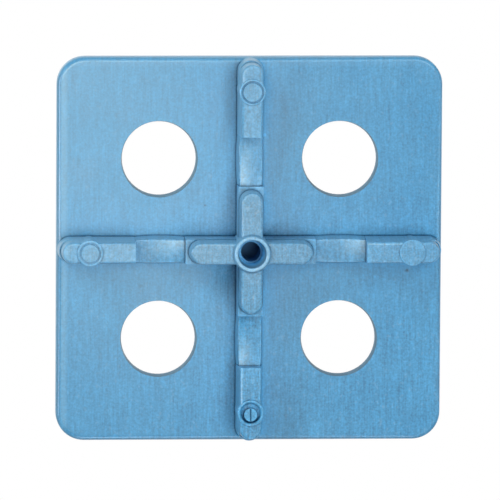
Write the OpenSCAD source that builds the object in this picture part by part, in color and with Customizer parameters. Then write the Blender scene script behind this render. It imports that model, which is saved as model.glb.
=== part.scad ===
// Packing shim: a square moulded plate with four large holes, crossed by a stepped rib
// that stands in the joints between slabs and carries a socketed boss at its centre.
// One moulding. Origin at the centre of the underside, +Z up, millimetres.

/* [Plate] */
// Side of the square plate
plate_side = 80; // [70:1:120]
// Thickness of the plate
plate_thick = 3; // [2:0.1:6]
// Radius of the plate's corners, seen from above
corner_radius = 5.8; // [3:0.1:12]
// Rounding of the plate's upper edge
plate_edge_round = 1; // [0.2:0.1:1.6]

/* [Through holes] */
// Diameter of each of the four holes at the plate's underside
hole_diameter = 15.4; // [8:0.1:20]
// Height of the straight wall at the bottom of each hole
hole_land = 1; // [0.5:0.1:1.5]
// How much wider the radius of each hole is at the plate's upper face
hole_flare = 0.3; // [0.1:0.05:0.6]
// Distance between the centres of neighbouring holes
hole_spacing = 37.5; // [34:0.1:42]

/* [Cross rib] */
// Width of the rib at its root on the plate
rib_width = 5.4; // [3.6:0.1:6.5]
// Draft angle of the rib's walls
rib_draft = 4; // [0.5:0.5:5]
// Rounding along the rib's upper edges
rib_edge_round = 0.55; // [0.2:0.05:1]
// Height of the outer stretches above the plate
outer_height = 7.1; // [5:0.1:8]
// Distance from the centre to the inner end of the outer stretches
outer_start = 24; // [20:0.1:28]
// Distance from the plate's edge to the round end of each arm
end_margin = 0.1; // [0.1:0.1:3]
// Height of the ledge round the end of each arm
end_ledge_height = 3.6; // [2:0.1:4.5]
// Width of that ledge at the tip of the arm
end_ledge = 0.35; // [0.1:0.05:0.8]

/* [Low blocks] */
// Height of the low blocks above the plate
block_height = 3.6; // [1.5:0.1:4.4]
// Width of the low blocks at their root, halfway along
block_width = 5.8; // [4.5:0.1:7]
// Draft angle of a low block's sides
block_draft = 8; // [2:0.5:10]
// Rise of a low block's crowned top from its edges to its middle
block_crown = 0.3; // [0.1:0.05:0.6]
// Rounding between a low block's crowned top and its sides
block_edge_round = 0.4; // [0.1:0.05:0.6]
// How far the sides of a low block bow outwards
block_bow = 0.25; // [0.1:0.05:0.5]

/* [Hub] */
// Height of the hub's arms above the plate
hub_height = 8.6; // [6.5:0.1:10]
// Width of the hub's arms where they stand on their feet
hub_width = 5; // [3.4:0.1:5]
// Distance from the centre to the round end of each hub arm, on its foot
hub_reach = 12.9; // [9:0.1:15]
// Height of the square foot under each hub arm
foot_height = 4.8; // [4.5:0.1:5.5]
// Draft angle of the foot's walls
foot_draft = 1.5; // [0.5:0.5:2]
// How far the square foot reaches past the round end
foot_margin = 0.6; // [0.1:0.1:1]

/* [Boss] */
// Height of the central boss above the hub's arms
boss_rise = 0.9; // [0.5:0.1:3]
// Diameter of the boss where it leaves the hub's arms
boss_diameter = 7.9; // [7.8:0.1:10]
// Draft angle of the boss below the hub's arms
boss_draft = 0.5; // [0.5:0.5:4]
// Diameter of the boss's upper rim, outside
lip_diameter = 7.4; // [7.2:0.1:7.7]
// Rounding of the rim's outer edge
lip_round = 0.25; // [0.1:0.05:0.3]
// Diameter of the socket's mouth, below its rounded edge
mouth_diameter = 5.8; // [5.7:0.1:6.2]
// Rounding of the mouth's edge
mouth_round = 0.3; // [0.1:0.05:0.35]
// Diameter of the socket's throat
throat_diameter = 5.5; // [5.2:0.1:5.7]
// Depth of the throat below the boss's top
throat_depth = 2; // [1:0.1:2.5]
// Diameter of the socket just above the ledge
socket_diameter = 4.8; // [4.5:0.1:5.1]
// Depth of the ledge below the boss's top
ledge_depth = 4.8; // [3:0.1:6]
// Diameter of the blind bore below the ledge
bore_diameter = 4.1; // [3:0.1:4.4]
// Thickness left under the blind bore
floor_thick = 1; // [0.8:0.1:1.8]

/* [Pin columns] */
// Distance from the centre to each of the four pin columns
column_distance = 33.4; // [30:0.1:35]
// Diameter of the pin columns at their root
column_diameter = 5.6; // [5.4:0.1:6.4]
// Draft angle of the columns' walls
column_draft = 0.5; // [0.5:0.5:1]
// How far the tops of the columns stand above the rib
column_rise = 0.3; // [0.1:0.05:0.6]
// Rounding of the columns' upper edges
column_round = 0.2; // [0.1:0.05:0.3]

/* [Pin marks] */
// Diameter of the groove on the first column
groove_diameter = 4.3; // [3.6:0.1:4.4]
// Width of the groove on the first column
groove_width = 0.5; // [0.2:0.05:0.6]
// Depth of the groove on the first column
groove_depth = 0.3; // [0.1:0.05:0.5]
// Diameter of the disc left standing on the second column
disc_diameter = 3.6; // [3:0.1:4]
// Width of the shallow step round that disc
step_width = 0.45; // [0.3:0.05:0.5]
// Depth of the shallow step round that disc
step_depth = 0.2; // [0.1:0.05:0.5]
// Diameter of the dish on the third column
dish_diameter = 4.6; // [3.9:0.1:4.7]
// Diameter of that dish at its floor
dish_floor = 3.8; // [3:0.1:4]
// Depth of the dish on the third column
dish_depth = 0.7; // [0.3:0.05:0.9]
// Diameter of the stub torn off inside the dish
stub_diameter = 2.7; // [1.5:0.1:2.8]
// How far the stub stands off the middle of the dish, outwards
stub_offset = 0.35; // [0:0.05:0.4]
// Width of the tear across the stub
tear_width = 0.3; // [0.1:0.05:0.5]
// Depth of the tear across the stub
tear_depth = 0.2; // [0.1:0.05:0.3]

/* [Hidden] */

// Curve finish and the small overlaps that join and cut solids cleanly
$fn = 96;
overlap = 0.01;
root_sink = 1;
seat_sink = 0.3;

// Small rounding of the ledge at the arms' ends
ledge_round = 0.2;

// Places worked out from the sizes above
half_side = plate_side / 2;
corner_centre = half_side - corner_radius;
half_spacing = hole_spacing / 2;
rib_half = rib_width / 2;
arm_reach = half_side - end_margin;
column_height = outer_height + column_rise;
block_half = block_width / 2;
foot_reach = hub_reach + foot_margin;
boss_top = plate_thick + hub_height + boss_rise;
block_length = outer_start - foot_reach;
bow_radius = (block_length * block_length / 4 + block_bow * block_bow) / (2 * block_bow);
crown_radius = (block_half * block_half + block_crown * block_crown) / (2 * block_crown);

// Half width of a drafted wall at height z above its root
function wall_at(half, z, draft = rib_draft) = half - z * tan(draft);

// Half section of a drafted rib with a rounded upper edge, right of the axis
module half_section(half, height, round, sink = root_sink, draft = rib_draft) {
    centre_z = height - round;
    centre_x = half - (round + centre_z * sin(draft)) / cos(draft);
    touch_x = centre_x + round * cos(draft);
    touch_z = centre_z + round * sin(draft);
    union() {
        polygon([
            [0, -sink],
            [wall_at(half, -sink, draft), -sink],
            [touch_x, touch_z],
            [centre_x, centre_z],
            [centre_x, height],
            [0, height]
        ]);
        translate([centre_x, centre_z]) circle(r = round);
    }
}

// Straight rib along +X from one distance to another, standing on z = 0
module straight_rib(from, to, half, height, round, sink = root_sink) {
    translate([from, 0, 0])
        rotate([90, 0, 90])
            linear_extrude(height = to - from) {
                half_section(half, height, round, sink);
                mirror([1, 0]) half_section(half, height, round, sink);
            }
}

// Round drafted end of a rib, centred at the given distance along +X
module round_end(at, half, height, round, sink = root_sink) {
    translate([at, 0, 0])
        rotate_extrude()
            half_section(half, height, round, sink);
}

// Edge section of the plate: a flat slab whose right upper edge is rounded
module slab_section(reach) {
    union() {
        square([reach, plate_thick - plate_edge_round]);
        square([reach - plate_edge_round, plate_thick]);
        translate([reach - plate_edge_round, plate_thick - plate_edge_round])
            circle(r = plate_edge_round);
    }
}

// Slab along X whose two long upper edges are rounded
module slab_strip(length) {
    rotate([90, 0, 90])
        translate([0, 0, -length / 2])
            linear_extrude(height = length) {
                slab_section(half_side);
                mirror([1, 0]) slab_section(half_side);
            }
}

module plate_body() {
    union() {
        slab_strip(2 * corner_centre);
        rotate([0, 0, 90]) slab_strip(2 * corner_centre);
        for (x = [-1, 1], y = [-1, 1])
            translate([x * corner_centre, y * corner_centre, 0])
                rotate_extrude()
                    slab_section(corner_radius);
    }
}

// Four holes right through the plate, straight below and flared above
module plate_holes() {
    hole_half = hole_diameter / 2;
    for (x = [-1, 1], y = [-1, 1])
        translate([x * half_spacing, y * half_spacing, 0])
            rotate_extrude()
                polygon([
                    [0, -overlap],
                    [hole_half, -overlap],
                    [hole_half, hole_land],
                    [hole_half + hole_flare, plate_thick],
                    [hole_half + hole_flare, plate_thick + overlap],
                    [0, plate_thick + overlap]
                ]);
}

// Outer stretch of one arm: its round end stands back from a ledge near the plate's edge
module outer_stretch() {
    tip_centre = arm_reach - rib_half;
    end_centre = tip_centre - end_ledge;
    straight_rib(outer_start, end_centre, rib_half, outer_height, rib_edge_round);
    round_end(end_centre, rib_half, outer_height, rib_edge_round);
    straight_rib(end_centre, tip_centre, rib_half, end_ledge_height, ledge_round);
    round_end(tip_centre, rib_half, end_ledge_height, ledge_round);
}

// Section of a low block: drafted sides, rounded edges and a crowned top
module crowned_section() {
    slope = tan(block_draft);
    inset = block_half - block_edge_round / cos(block_draft);
    reach = crown_radius - block_edge_round;
    crown_z = block_height - crown_radius;
    lean = inset * slope + crown_z;
    square_sum = inset * inset + crown_z * crown_z - reach * reach;
    edge_z = (lean + sqrt(lean * lean - (1 + slope * slope) * square_sum)) / (1 + slope * slope);
    edge_x = inset - edge_z * slope;
    top_x = edge_x * crown_radius / reach;
    top_z = crown_z + (edge_z - crown_z) * crown_radius / reach;
    for (side = [0, 1])
        mirror([side, 0]) {
            polygon([
                [0, -root_sink],
                [wall_at(block_half, -root_sink, block_draft), -root_sink],
                [edge_x + block_edge_round * cos(block_draft), edge_z + block_edge_round * sin(block_draft)],
                [edge_x, edge_z],
                [top_x, top_z],
                [0, top_z]
            ]);
            translate([edge_x, edge_z]) circle(r = block_edge_round);
        }
    intersection() {
        translate([0, crown_z]) circle(r = crown_radius, $fn = 360);
        translate([-top_x, 0]) square([2 * top_x, block_height + overlap]);
    }
}

// Large cone whose flank bows and drafts one side of a low block
module bow_cone(side) {
    slope = tan(block_draft);
    translate([(foot_reach + outer_start) / 2, side * (bow_radius - block_half), -root_sink])
        cylinder(
            r1 = bow_radius + root_sink * slope,
            r2 = bow_radius - (block_height + overlap) * slope,
            h = root_sink + block_height + overlap,
            $fn = 360
        );
}

// Low block of one arm, bowed outwards along its sides
module low_block() {
    intersection() {
        translate([foot_reach - overlap, 0, 0])
            rotate([90, 0, 90])
                linear_extrude(height = block_length + 2 * overlap)
                    crowned_section();
        bow_cone(-1);
        bow_cone(1);
    }
}

// Hub arm: a round-ended rib on a lower, square-ended foot
module hub_arm() {
    end_centre = hub_reach - hub_width / 2;
    foot_half = wall_at(rib_half, foot_height, foot_draft);
    translate([0, 0, foot_height]) {
        straight_rib(0, end_centre, hub_width / 2, hub_height - foot_height, rib_edge_round, seat_sink);
        round_end(end_centre, hub_width / 2, hub_height - foot_height, rib_edge_round, seat_sink);
    }
    rotate([90, 0, 90])
        linear_extrude(height = foot_reach)
            polygon([
                [-wall_at(rib_half, -root_sink, foot_draft), -root_sink],
                [wall_at(rib_half, -root_sink, foot_draft), -root_sink],
                [foot_half, foot_height],
                [-foot_half, foot_height]
            ]);
}

// Column that a mould pin pushed against, a little wider and higher than the rib
module pin_column() {
    translate([column_distance, 0, 0])
        rotate_extrude()
            half_section(column_diameter / 2, column_height, column_round, root_sink, column_draft);
}

// Groove pressed into a column's top, between two radii
module ring_cut(inner, outer, depth) {
    translate([column_distance, 0, column_height])
        rotate_extrude()
            polygon([
                [inner, overlap],
                [outer, overlap],
                [outer - depth / 3, -depth],
                [inner + depth / 3, -depth]
            ]);
}

module groove_mark() {
    middle = groove_diameter / 2;
    ring_cut(middle - groove_width / 2, middle + groove_width / 2, groove_depth);
}

module disc_mark() {
    ring_cut(disc_diameter / 2, disc_diameter / 2 + step_width, step_depth);
}

// Dish with a torn stub of plastic left standing in it
module dish_mark() {
    translate([column_distance, 0, column_height - dish_depth])
        difference() {
            cylinder(d1 = dish_floor, d2 = dish_diameter, h = dish_depth + overlap);
            translate([stub_offset, 0, -overlap])
                cylinder(d = stub_diameter, h = dish_depth + overlap);
        }
    translate([column_distance, 0, column_height - tear_depth])
        linear_extrude(height = tear_depth + overlap)
            square([stub_diameter + 2 * stub_offset, tear_width], center = true);
}

module arm() {
    outer_stretch();
    low_block();
    hub_arm();
    pin_column();
}

module boss() {
    top = hub_height + boss_rise;
    lip_half = lip_diameter / 2;
    rotate_extrude()
        union() {
            polygon([
                [0, -root_sink],
                [boss_diameter / 2 + (hub_height + root_sink) * tan(boss_draft), -root_sink],
                [boss_diameter / 2, hub_height],
                [lip_half, top - lip_round],
                [lip_half - lip_round, top - lip_round],
                [lip_half - lip_round, top],
                [0, top]
            ]);
            translate([lip_half - lip_round, top - lip_round]) circle(r = lip_round);
        }
}

// Stepped blind socket down through the boss, with a rounded mouth
module socket() {
    mouth_half = mouth_diameter / 2;
    translate([0, 0, boss_top])
        rotate_extrude()
            union() {
                polygon([
                    [0, floor_thick - boss_top],
                    [bore_diameter / 2, floor_thick - boss_top],
                    [bore_diameter / 2, -ledge_depth],
                    [socket_diameter / 2, -ledge_depth],
                    [throat_diameter / 2, -throat_depth],
                    [mouth_half, -mouth_round],
                    [0, -mouth_round]
                ]);
                difference() {
                    translate([0, -mouth_round - overlap])
                        square([mouth_half + mouth_round, mouth_round + 2 * overlap]);
                    translate([mouth_half + mouth_round, -mouth_round]) circle(r = mouth_round);
                }
            }
}

module shim_plate() {
    color([0.36, 0.62, 0.82])
        difference() {
            union() {
                plate_body();
                translate([0, 0, plate_thick]) {
                    for (turn = [0 : 90 : 270])
                        rotate([0, 0, turn]) arm();
                    boss();
                }
            }
            plate_holes();
            socket();
            translate([0, 0, plate_thick]) {
                rotate([0, 0, 90]) groove_mark();
                rotate([0, 0, 180]) disc_mark();
                rotate([0, 0, 270]) dish_mark();
            }
        }
}

shim_plate();
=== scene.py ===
# Looks of the packing shim: one satin blue moulding on a white sweep, seen from above.
# Metres. +Z out of the ribbed face. The photo is taken as 500 by 500 pixels.
import math
from types import SimpleNamespace

import bpy
from mathutils import Matrix, Vector


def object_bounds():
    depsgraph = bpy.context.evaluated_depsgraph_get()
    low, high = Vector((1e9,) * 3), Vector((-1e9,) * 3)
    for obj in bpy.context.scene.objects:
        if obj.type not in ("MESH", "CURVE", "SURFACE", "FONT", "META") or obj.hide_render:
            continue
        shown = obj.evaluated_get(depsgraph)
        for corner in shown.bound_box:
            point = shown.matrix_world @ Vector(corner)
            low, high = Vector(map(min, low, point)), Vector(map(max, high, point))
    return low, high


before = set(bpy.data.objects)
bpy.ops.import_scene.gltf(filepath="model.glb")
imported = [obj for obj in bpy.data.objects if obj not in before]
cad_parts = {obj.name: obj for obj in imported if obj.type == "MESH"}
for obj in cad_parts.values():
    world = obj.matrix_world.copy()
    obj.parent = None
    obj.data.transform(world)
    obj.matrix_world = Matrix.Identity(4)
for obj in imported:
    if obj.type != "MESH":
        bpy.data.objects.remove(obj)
bpy.context.view_layer.update()
start_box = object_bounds()
scene = bpy.context.scene
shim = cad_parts["shim_plate"]

MM = 0.001

# Levels and reach of the moulding
PLATE_HALF = start_box[1][0]
BOSS_TOP = start_box[1][2]
PLATE_TOP = 3.0 * MM
ARM_TOP = PLATE_TOP + 7.1 * MM
HUB_TOP = PLATE_TOP + 8.6 * MM
SOCKET_LEDGE = BOSS_TOP - 4.8 * MM
SOCKET_RADIUS = 3.1 * MM
BORE_FLOOR = 1.0 * MM

# Colours of the plastic
BLUE = (0.034, 0.220, 0.419, 1)
PALER_BLUE = (0.041, 0.241, 0.447, 1)
PALE_GREY_BLUE = (0.25, 0.42, 0.56, 1)
# Painted light on the steep walls and painted highlight on the plate's left and upper edges
WALL_PAINTED_LIGHT = (0.32, 0.58, 0.74, 1)
# Painted shade on the walls of the holes
HOLE_WALL_SHADE = (0.10, 0.17, 0.21, 1)
# Painted shade in creases and deep hollows
CREASE_SHADE = (0.004, 0.024, 0.075, 1)
# Painted light low in the socket
SOCKET_PAINTED_LIGHT = (0.17, 0.60, 0.95, 1)
SOCKET_ABOVE = (0.09, 0.22, 0.35, 1)
BORE_WALL = (0.08, 0.19, 0.34, 1)
# Painted highlight on the lip of the boss
BOSS_LIP_HIGHLIGHT = (0.40, 0.60, 0.72, 1)
WHITE = (1, 1, 1, 1)

# The corner beside the boss that gets less light: its middle and radius in millimetres
SHADED_CORNER = (-4.0, -4.5, 3.0)
SHADED_CORNER_RADIUS = 8.0

# Single marks on the moulding: place in millimetres, radius in millimetres, change of tone
MARKS = {
    "pit below the right arm": ((32.9, -4.6, 3.0), 0.5, -0.6),
    "nick right of the top arm": ((3.1, 23.8, 3.0), 0.5, 0.6),
    "rubbed corner of the right arm": ((24.3, -2.2, 10.0), 0.7, 0.45),
    "nick below the right arm": ((26.1, -5.8, 3.0), 0.4, 0.3),
    "pit in the upper left field": ((-9.2, 9.1, 3.0), 0.35, -0.3),
    "speck below the left arm": ((-28.3, -6.5, 3.0), 0.4, -0.2),
    "second speck below the left arm": ((-25.6, -6.7, 3.0), 0.4, -0.2),
    "third speck below the left arm": ((-22.5, -7.7, 3.0), 0.4, -0.2),
    "dark spot on the top arm": ((-0.7, 29.4, 10.1), 0.45, -0.4),
    "rubbed corner beside the boss": ((12.7, 1.9, 11.5), 0.6, 0.35),
    "shade in the corner beside the boss": (SHADED_CORNER, SHADED_CORNER_RADIUS, -0.1),
}


# Short calls for the nodes of a material or world

class Graph:
    """Adds shader nodes to one emptied tree and gives back their outputs."""

    def __init__(self, tree):
        tree.nodes.clear()
        self.tree = tree

    def plug(self, value, socket):
        """Links an output to the socket, or writes a plain number or colour on it."""
        if isinstance(value, bpy.types.NodeSocket):
            self.tree.links.new(value, socket)
        else:
            socket.default_value = value

    def add(self, kind, **inputs):
        node = self.tree.nodes.new(kind)
        for name, value in inputs.items():
            self.plug(value, node.inputs[name.replace("_", " ")])
        return node

    def maths(self, operation, first, second=0.0):
        node = self.add("ShaderNodeMath")
        node.operation = operation
        self.plug(first, node.inputs[0])
        self.plug(second, node.inputs[1])
        return node.outputs[0]

    def total(self, first, *others):
        for other in others:
            first = self.maths("ADD", first, other)
        return first

    def product(self, first, *others):
        for other in others:
            first = self.maths("MULTIPLY", first, other)
        return first

    def distance_from(self, value, level):
        return self.maths("ABSOLUTE", self.maths("SUBTRACT", value, level))

    def outside(self, mask):
        return self.maths("SUBTRACT", 1.0, mask)

    def ramp(self, value, low, high, to_low=0.0, to_high=1.0):
        """Goes from to_low to to_high while value goes from low to high, and stays level beyond."""
        node = self.add("ShaderNodeMapRange")
        for socket, number in zip(node.inputs, (value, low, high, to_low, to_high)):
            self.plug(number, socket)
        return node.outputs[0]

    def ramp_mm(self, value, low, high, to_low=0.0, to_high=1.0, past=0.0):
        """The same with low and high in millimetres, counted from the level that past gives."""
        return self.ramp(value, past + low * MM, past + high * MM, to_low, to_high)

    def chosen(self, factor, first, second):
        """First where the factor is 0, second where it is 1."""
        node = self.add("ShaderNodeMix")
        for index, value in ((0, factor), (2, first), (3, second)):
            self.plug(value, node.inputs[index])
        return node.outputs[0]

    def mixed(self, factor, first, second, blend="MIX"):
        """The same for two colours."""
        node = self.add("ShaderNodeMix")
        node.data_type = "RGBA"
        node.blend_type = blend
        for index, value in ((0, factor), (6, first), (7, second)):
            self.plug(value, node.inputs[index])
        return node.outputs[2]

    def vector(self, operation, first, second=(0, 0, 0)):
        node = self.add("ShaderNodeVectorMath")
        node.operation = operation
        self.plug(first, node.inputs[0])
        self.plug(second, node.inputs[1])
        return node

    def noise(self, where, size, detail, stretch=(1, 1, 1)):
        """Noise whose grains are about as large as size, drawn out along the axes by stretch."""
        scale = [1 / (size * part) for part in stretch]
        scaled = self.add("ShaderNodeMapping", Vector=where, Scale=scale)
        node = self.add("ShaderNodeTexNoise", Vector=scaled.outputs[0],
                        Scale=1.0, Detail=detail, Roughness=0.55)
        return node.outputs[0]

    def occlusion(self, distance, inside=False):
        node = self.add("ShaderNodeAmbientOcclusion", Distance=distance)
        node.samples = 12
        node.inside = inside
        node.only_local = True
        return node.outputs["AO"]

    def mark(self, where, place, radius, change):
        """A round spot, with its place and radius in millimetres, that fades towards its rim."""
        spot = self.vector("DISTANCE", where, [part * MM for part in place])
        return self.ramp(spot.outputs["Value"], 0.3 * radius * MM, radius * MM, change, 0.0)

    def white_when_seen(self, plain, white, output):
        """White for rays that carry what the camera sees, plain for those that light the part."""
        ray = self.add("ShaderNodeLightPath")
        seen = ray.outputs["Is Camera Ray"]
        for kind in ("Is Glossy Ray", "Is Transmission Ray"):
            seen = self.maths("MAXIMUM", seen, ray.outputs[kind])
        mix = self.add("ShaderNodeMixShader")
        for socket, value in zip(mix.inputs, (seen, plain.outputs[0], white.outputs[0])):
            self.plug(value, socket)
        self.add(output, Surface=mix.outputs[0])


def new_material(name):
    mat = bpy.data.materials.new(name)
    mat.use_nodes = True
    return mat, Graph(mat.node_tree)


# The plastic, from its masks to its colour and gloss

def places(graph):
    """What the masks start from: the place on the moulding, its height, slope and side of the cross."""
    coordinates = graph.add("ShaderNodeTexCoord")
    where = coordinates.outputs["Object"]
    x, y, z = graph.add("ShaderNodeSeparateXYZ", Vector=where).outputs
    normal = graph.add("ShaderNodeSeparateXYZ", Vector=coordinates.outputs["Normal"])
    flat = graph.vector("MULTIPLY", where, (1, 1, 0))

    # Positive left of the upright arms and above the level ones, negative right of and below them
    by_upright_arm = graph.maths("LESS_THAN", graph.maths("ABSOLUTE", x), graph.maths("ABSOLUTE", y))
    side = graph.chosen(by_upright_arm, y, graph.product(x, -1.0))
    return SimpleNamespace(
        where=where, x=x, y=y, z=z, side=side,
        across=graph.maths("SUBTRACT", x, y),
        radius=graph.vector("LENGTH", flat.outputs["Vector"]).outputs["Value"],
        raised=graph.ramp_mm(z, 0.5, 1.5, past=PLATE_TOP),
        steep=graph.ramp(graph.maths("ABSOLUTE", normal.outputs["Z"]), 0.2, 0.85, 1.0, 0.0),
        shaded_side=graph.ramp_mm(side, -1.0, 1.0, 0.3, 1.0),
        openness=graph.occlusion(5 * MM))


def mould_texture(graph, at):
    """Clouds, fine grain, the upright tool marks of the mould, and blotches on the raised parts."""
    cloud = graph.noise(at.where, 7 * MM, 4.0)
    grain = graph.noise(at.where, 0.4 * MM, 1.0)
    streak = graph.noise(at.where, 0.4 * MM, 1.0, (1, 14, 14))
    blotch = graph.noise(at.where, 0.9 * MM, 2.0)
    strength = graph.total(graph.ramp_mm(at.across, -60, 60, 0.85, 1.3), graph.product(at.raised, 0.7))
    fine = graph.total(graph.ramp(grain, 0.2, 0.8, -0.2, 0.2), graph.ramp(streak, 0.2, 0.8, -0.15, 0.15))
    blotches = graph.product(graph.ramp(blotch, 0.3, 0.7, -0.12, 0.12), at.raised)
    tone = graph.total(graph.product(fine, strength), blotches)
    for place, radius, change in MARKS.values():
        tone = graph.total(tone, graph.mark(at.where, place, radius, change))
    return SimpleNamespace(cloud=cloud, blotch=blotch, strength=strength, tone=tone,
                           height=graph.total(grain, streak))


def socket_masks(graph, at):
    """The whole socket of the boss, down to the floor of its bore, and the bore alone."""
    socket = graph.product(graph.ramp_mm(at.radius, -0.15, 0.0, 1.0, 0.0, past=SOCKET_RADIUS),
                           graph.ramp_mm(at.z, -0.25, -0.1, 1.0, 0.0, past=BOSS_TOP),
                           graph.ramp_mm(at.z, -0.5, -0.1, past=BORE_FLOOR))
    bore = graph.product(socket, graph.ramp_mm(at.z, -0.1, 0.2, 1.0, 0.0, past=SOCKET_LEDGE))
    return socket, bore


def hole_wall_mask(graph, at):
    """Steep faces below the plate's top, well inside its outer edges."""
    mask = graph.product(at.steep, graph.ramp_mm(at.z, -0.2, 0.0, 1.0, 0.0, past=PLATE_TOP))
    for along in (at.x, at.y):
        reach = graph.maths("ABSOLUTE", along)
        mask = graph.product(mask, graph.ramp_mm(reach, -6.0, -4.0, 1.0, 0.0, past=PLATE_HALF))
    return mask


def crease_mask(graph, at, socket):
    """Painted shade in creases, deepest on the upper and left sides and weaker round the column tops,
    and painted shade in deep hollows.
    """
    crease = graph.ramp(graph.occlusion(0.75 * MM), 0.5, 0.85, 1.0, 0.0)
    crease = graph.product(crease, graph.maths("MAXIMUM", at.shaded_side, at.raised))
    column_top = graph.product(
        graph.ramp_mm(graph.distance_from(at.z, ARM_TOP), 0.35, 0.6, 0.5, 0.0),
        graph.ramp_mm(at.y, -10, -5))
    crease = graph.product(crease, graph.outside(column_top))
    deep = graph.ramp(at.openness, 0.15, 0.4, 1.0, 0.0)
    return graph.product(graph.maths("MAXIMUM", crease, deep), graph.outside(socket))


def painted_light_and_shade(graph, at):
    """Painted highlights on convex edges and the boss top, painted shade on the plate's left rim and on
    the hub, and painted light on the ground just right of and below the arms.
    """
    brightened = graph.product(graph.ramp(graph.occlusion(0.8 * MM, inside=True), 0.5, 0.95, 0.3, 0.0),
                           graph.ramp_mm(at.z, -0.4, 1.5, past=PLATE_TOP))
    left_rim_shade = graph.ramp_mm(at.x, 0.4, 1.0, -0.2, 0.0, past=-PLATE_HALF)
    hub = graph.ramp_mm(at.z, 0.4, 1.1, 0.0, -0.15, past=ARM_TOP)
    boss = graph.ramp_mm(at.z, 0.2, 0.7, 0.0, 0.15, past=HUB_TOP)
    lee = graph.product(graph.ramp_mm(at.side, -1.0, 0.0, 1.0, 0.0),
                        graph.ramp(at.openness, 0.6, 0.97, 0.12, 0.0),
                        graph.outside(at.raised))
    return graph.total(brightened, left_rim_shade, hub, boss, lee)


def pale_flecks_and_tops(graph, at, texture, base):
    """Pale flecks all over, and paler blotchy tops, less pale on the lower arm."""
    fleck = graph.ramp(graph.noise(at.where, 0.7 * MM, 1.0, (1, 1.6, 1.6)), 0.62, 0.85, 0.0, 0.35)
    fleck = graph.product(fleck, graph.maths("SUBTRACT", texture.strength, 0.5))
    pale_tops = graph.total(graph.ramp_mm(at.y, -12, -3, 0.0, 0.14),
                        graph.ramp(texture.blotch, 0.5, 0.7, -0.02, 0.15))
    base = graph.mixed(fleck, base, PALE_GREY_BLUE)
    return graph.mixed(graph.product(at.raised, pale_tops), base, PALE_GREY_BLUE)


def painted_wall_light(graph, at, base):
    """Painted light on the steep walls, strongest towards the upper left, and painted highlights along
    the plate's rounded left and upper edges.
    """
    wall = graph.product(at.steep, graph.ramp_mm(at.across, -40, 40, 0.42, 0.12))
    left_edge = graph.distance_from(at.x, 1.4 * MM - PLATE_HALF)
    upper_edge = graph.distance_from(at.y, PLATE_HALF - 1.1 * MM)
    # Painted highlights along the plate's rounded left and upper edges
    edges = graph.total(graph.ramp_mm(left_edge, 0.3, 1.1, 0.15, 0.0),
                        graph.ramp_mm(upper_edge, 0.3, 1.1, 0.05, 0.0))
    return graph.mixed(graph.maths("MAXIMUM", wall, edges), base, WALL_PAINTED_LIGHT)


def boss_colours(graph, at, socket, bore, base):
    """The wall of the socket, with painted light making it lighter and bluer towards its ledge, the
    darker bore, and a painted highlight on the lip.
    """
    wall = graph.mixed(graph.ramp_mm(at.z, 9.0, 11.0), SOCKET_PAINTED_LIGHT, SOCKET_ABOVE)
    base = graph.mixed(graph.product(socket, 0.9), base, wall)
    base = graph.mixed(bore, base, BORE_WALL)
    lip = graph.product(graph.ramp_mm(at.z, -0.5, -0.15, 0.0, 0.2, past=BOSS_TOP), graph.outside(socket))
    return graph.mixed(lip, base, BOSS_LIP_HIGHLIGHT)


def gloss_level(graph, at, dark, lessened):
    """Gloss of the open faces, less of it in shade and where the masks in lessened say."""
    closed = graph.product(graph.ramp(at.openness, 0.3, 0.9, 0.7, 0.0), at.shaded_side)
    level = graph.product(graph.outside(closed), graph.ramp(dark, 0.0, 1.0, 0.5, 0.02))
    for mask, least in lessened:
        level = graph.product(level, graph.ramp(mask, 0.0, 1.0, 1.0, least))
    return level


def plastic():
    mat, graph = new_material("blue_plastic")
    at = places(graph)
    texture = mould_texture(graph, at)
    socket, bore = socket_masks(graph, at)
    hole_wall = hole_wall_mask(graph, at)
    dark = crease_mask(graph, at, socket)

    base = graph.mixed(graph.ramp(texture.cloud, 0.3, 0.7), BLUE, PALER_BLUE)
    # The tone carries the grain and marks, and the painted highlights and painted shade by level; it
    # scales the colour.
    tone = graph.total(texture.tone, painted_light_and_shade(graph, at), 1.0)
    base = graph.mixed(1.0, base, tone, "MULTIPLY")
    base = pale_flecks_and_tops(graph, at, texture, base)
    base = painted_wall_light(graph, at, base)
    # Painted shade on the hole walls
    base = graph.mixed(graph.product(hole_wall, 0.7), base, HOLE_WALL_SHADE)
    # Painted shade in the creases and deep hollows
    base = graph.mixed(graph.product(dark, 0.9), base, CREASE_SHADE)
    # Painted light in the socket and a painted highlight on the boss's lip
    base = boss_colours(graph, at, socket, bore, base)

    corner = graph.product(graph.mark(at.where, SHADED_CORNER, SHADED_CORNER_RADIUS, 1.0),
                           graph.ramp_mm(at.z, 0.5, 2.5))
    gloss = gloss_level(graph, at, dark, ((hole_wall, 0.1), (socket, 0.5), (bore, 0.04), (corner, 0.5)))
    bump = graph.add("ShaderNodeBump", Strength=0.25, Distance=0.03 * MM, Height=texture.height)
    shader = graph.add("ShaderNodeBsdfPrincipled", IOR=1.45, Base_Color=base, Specular_IOR_Level=gloss,
                       Roughness=graph.ramp(texture.cloud, 0.3, 0.7, 0.33, 0.41), Normal=bump.outputs[0])
    graph.add("ShaderNodeOutputMaterial", Surface=shader.outputs[0])
    return mat


shim.data.materials.clear()
shim.data.materials.append(plastic())

# Sharp edges rounded a little
weld = shim.modifiers.new("weld", "WELD")
weld.merge_threshold = 1e-6
bevel = shim.modifiers.new("edges", "BEVEL")
bevel.width = 0.15 * MM
bevel.segments = 2
bevel.limit_method = "ANGLE"
bevel.angle_limit = math.radians(50)

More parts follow.
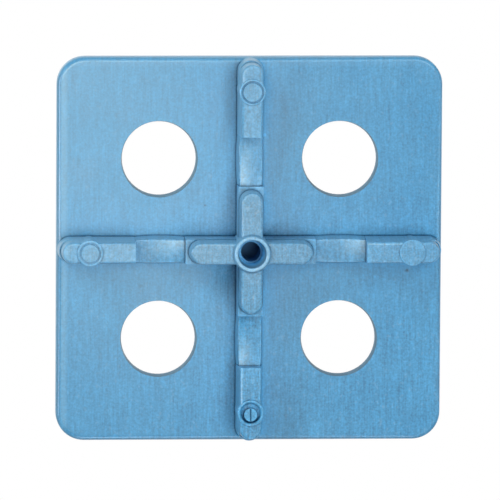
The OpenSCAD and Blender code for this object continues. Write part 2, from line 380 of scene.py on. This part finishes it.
# Floor, a little below the underside so that the two faces don't coincide
FLOOR_DROP = 0.1 * MM
bpy.ops.mesh.primitive_plane_add(size=3, location=(0, 0, -FLOOR_DROP))
floor = bpy.context.object
floor.name = "floor"
mat, graph = new_material("floor_white")
graph.white_when_seen(graph.add("ShaderNodeBsdfDiffuse", Color=(0.8, 0.8, 0.8, 1)),
                      graph.add("ShaderNodeEmission", Color=WHITE, Strength=1.0),
                      "ShaderNodeOutputMaterial")
floor.data.materials.append(mat)

# World
world = bpy.data.worlds.new("studio")
scene.world = world
world.use_nodes = True
graph = Graph(world.node_tree)
graph.white_when_seen(graph.add("ShaderNodeBackground", Color=WHITE, Strength=0.03),
                      graph.add("ShaderNodeBackground", Color=WHITE, Strength=1.0),
                      "ShaderNodeOutputWorld")

# Fills light the colour only: direction in degrees and power
FILL_DISTANCE = 0.8
FILL_SIZE = 0.35
FILLS = {
    "fill_lower_right": (315, 70, 3.2),
    "fill_low_upper_left": (135, 30, 2.7),
    "fill_upper_right": (45, 50, 1.8),
    "fill_low_left": (180, 30, 1.7),
    "fill_right": (0, 70, 0.9),
}

# Gleams light the gloss only: direction in degrees, distance, size, power and colour
NEUTRAL = (1.0, 1.0, 1.0)
FAINTLY_WARM = (1.0, 1.0, 0.9)
PALE_WARM = (1.0, 0.95, 0.8)
WARM = (1.0, 0.93, 0.65)
RIM_DISTANCE = 0.77
RIM_SIZE = 0.35
GLEAMS = {
    "sheen_above": (235, 84, 0.2, 0.05, 0.08, WARM),
    "sheen_upper_left": (135, 70, 0.3, 0.12, 0.75, WARM),
    "sheen_top": (90, 45, 0.3, 0.12, 0.3, PALE_WARM),
    "rim_left": (180, 30, RIM_DISTANCE, RIM_SIZE, 5.3, NEUTRAL),
    "rim_bottom": (270, 30, RIM_DISTANCE, RIM_SIZE, 3.4, NEUTRAL),
    "rim_upper_right": (45, 50, RIM_DISTANCE, RIM_SIZE, 3.0, FAINTLY_WARM),
    "rim_right": (0, 30, RIM_DISTANCE, RIM_SIZE, 2.2, FAINTLY_WARM),
    "rim_lower_right": (315, 50, RIM_DISTANCE, RIM_SIZE, 1.2, FAINTLY_WARM),
}


def round_lamp(name, azimuth, elevation, distance, size, power, colour=NEUTRAL):
    data = bpy.data.lights.new(name, "AREA")
    data.shape = "DISK"
    data.size = size
    data.energy = power
    data.color = colour
    lamp = bpy.data.objects.new(name, data)
    scene.collection.objects.link(lamp)
    turn, rise = math.radians(azimuth), math.radians(elevation)
    towards = Vector((math.cos(turn) * math.cos(rise), math.sin(turn) * math.cos(rise), math.sin(rise)))
    lamp.location = distance * towards
    lamp.rotation_mode = "QUATERNION"
    lamp.rotation_quaternion = lamp.location.to_track_quat("Z", "Y")
    return lamp


for name, (azimuth, elevation, power) in FILLS.items():
    fill = round_lamp(name, azimuth, elevation, FILL_DISTANCE, FILL_SIZE, power)
    fill.visible_glossy = False
for name, settings in GLEAMS.items():
    gleam = round_lamp(name, *settings)
    gleam.visible_diffuse = False

# Camera: about eight degrees off the plate's axis, towards its upper left corner
TILT_X, TILT_Y = 0.0724, 0.1230
CAMERA_DISTANCE = 2.0
FRAME_WIDTH = 103.7 * MM
AIM = Vector((0.17, -0.23, 3.0)) * MM
ROLL = math.radians(0.363)
towards = Vector((-TILT_X, TILT_Y, 1.0)).normalized()
right = Vector((0, 1, 0)).cross(towards).normalized()
up = towards.cross(right)
turned_right = right * math.cos(ROLL) + up * math.sin(ROLL)
turned_up = up * math.cos(ROLL) - right * math.sin(ROLL)
basis = Matrix((turned_right, turned_up, towards)).transposed().to_4x4()
basis.translation = AIM + towards * CAMERA_DISTANCE

camera_data = bpy.data.cameras.new("camera")
camera_data.sensor_width = 36
camera_data.lens = camera_data.sensor_width * CAMERA_DISTANCE / FRAME_WIDTH
camera_data.clip_start = 0.05
camera_data.clip_end = 20
camera = bpy.data.objects.new("camera", camera_data)
scene.collection.objects.link(camera)
camera.matrix_world = basis
scene.camera = camera

scene.view_settings.view_transform = "Standard"

bpy.context.view_layer.update()
